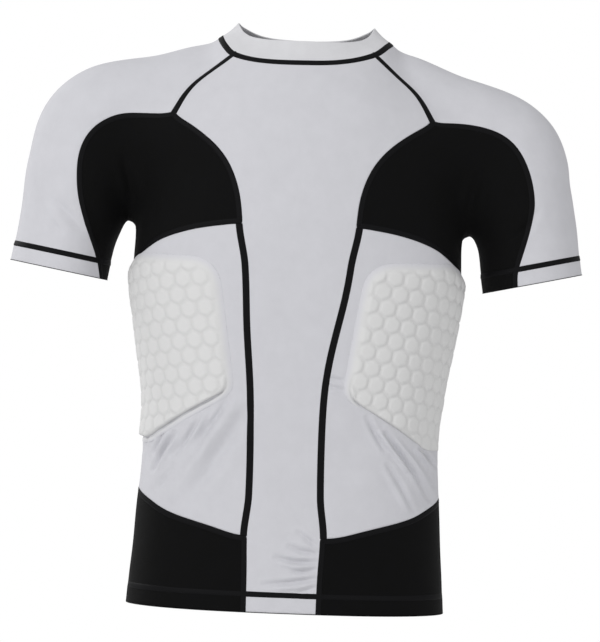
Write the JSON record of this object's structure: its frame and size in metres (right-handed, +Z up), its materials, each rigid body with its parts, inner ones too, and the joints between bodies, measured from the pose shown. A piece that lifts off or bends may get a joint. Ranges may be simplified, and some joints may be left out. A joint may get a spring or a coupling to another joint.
{
  "type": "padded compression shirt",
  "caption": "Short-sleeved close-fitting knit shirt, filled out as worn, with raglan shoulders, dark stretch panels and a honeycomb rib pad on each side.",
  "frame": {"origin": "middle of the neck opening, level with the shoulders' inner ends, where the wearer's shoulders hold the shirt up", "axes": "+X to the wearer's left, -Y the front, +Z up"},
  "size_m": [0.6275, 0.2384, 0.6399],
  "materials": {
    "grey_knit": "matte",
    "black_knit": "matte",
    "neck_rib": "matte",
    "pad_cover": "satin"
  },
  "bodies": {
    "root": {"front_panel": "grey_knit", "back_panel": "grey_knit", "side_panel_right": "grey_knit", "side_panel_left": "grey_knit", "shoulder_sleeve_right": "grey_knit", "shoulder_sleeve_left": "grey_knit", "chest_underarm_panel_right": "black_knit", "chest_underarm_panel_left": "black_knit", "hip_panel_right": "black_knit", "hip_panel_left": "black_knit", "neck_band": "neck_rib", "rib_pad_right": "pad_cover", "rib_pad_left": "pad_cover"}
  },
  "joints": []
}
